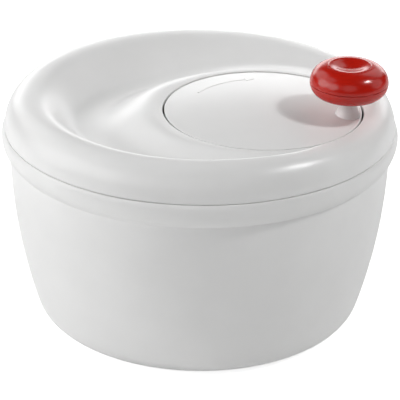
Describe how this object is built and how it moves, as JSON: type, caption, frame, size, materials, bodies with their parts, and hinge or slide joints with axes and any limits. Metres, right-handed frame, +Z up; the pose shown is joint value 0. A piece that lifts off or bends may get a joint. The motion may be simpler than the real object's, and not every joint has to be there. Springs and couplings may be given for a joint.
{
  "type": "salad spinner",
  "caption": "Round white salad spinner: bowl, slotted basket and sculpted lid with an off-centre crank disc, red knob and internal gear drive.",
  "frame": {"origin": "centre of the base, on the surface it stands on", "axes": "+Z up along the lid and basket axis, +X towards the knob side, -Y towards the front"},
  "size_m": [0.26, 0.26, 0.1854],
  "materials": {
    "bowl_plastic": "satin white injection-moulded plastic",
    "lid_plastic": "satin white injection-moulded plastic",
    "disc_plastic": "satin white injection-moulded plastic",
    "basket_plastic": "white polypropylene, matt",
    "inner_plastic": "white moulded plastic, matt",
    "gear_plastic": "natural acetal",
    "clear_plastic": "clear moulded plastic",
    "knob_red": "glossy red moulded plastic",
    "steel": "zinc-plated or stainless steel",
    "grip_rubber": "grey soft elastomer"
  },
  "bodies": {
    "bowl": {"bowl": "bowl_plastic", "base_grip_ring": "grip_rubber", "pivot_pin": "steel"},
    "pivot": {"pivot_cap": "gear_plastic"},
    "basket": {"basket": "basket_plastic"},
    "lid": {"lid_cover": "lid_plastic", "gear_tray": "inner_plastic", "tray_screws": "steel", "pinion_bush": "gear_plastic", "crank_bush": "gear_plastic"},
    "crank": {"crank_disc": "disc_plastic", "ring_gear": "gear_plastic", "crank_washer": "steel", "crank_screw": "steel", "knob_post": "clear_plastic", "post_screw": "steel", "knob_washer": "steel", "knob_screw": "steel"},
    "knob": {"knob_lower": "knob_red", "knob_upper": "knob_red"},
    "driver": {"drive_pinion": "gear_plastic", "thrust_washer": "steel", "drive_spider": "inner_plastic", "spider_screw": "steel"}
  },
  "joints": [
    {"name": "lid_lift", "type": "slide", "parent": "bowl", "child": "lid", "axis": [0, 0, 1], "range_m": [0, 0.25]},
    {"name": "basket_spin", "type": "hinge", "parent": "bowl", "child": "pivot", "pos_m": [0, 0, 0.02], "axis": [0, 0, 1], "continuous": true},
    {"name": "basket_lift", "type": "slide", "parent": "pivot", "child": "basket", "axis": [0, 0, 1], "range_m": [0, 0.125]},
    {"name": "crank_spin", "type": "hinge", "parent": "lid", "child": "crank", "pos_m": [0.04026, -0.02614, 0.145], "axis": [0, 0, 1], "continuous": true},
    {"name": "knob_spin", "type": "hinge", "parent": "crank", "child": "knob", "pos_m": [0.09376, -0.03538, 0.17], "axis": [0, 0, 1], "continuous": true},
    {"name": "driver_spin", "type": "hinge", "parent": "lid", "child": "driver", "pos_m": [0, 0, 0.13], "axis": [0, 0, 1], "continuous": true}
  ],
  "couplings": [
    {"joint": "crank_spin", "follows": "basket_spin", "ratio": 0.17949},
    {"joint": "driver_spin", "follows": "basket_spin", "ratio": 1},
    {"joint": "basket_lift", "follows": "lid_lift", "ratio": 0.5}
  ]
}
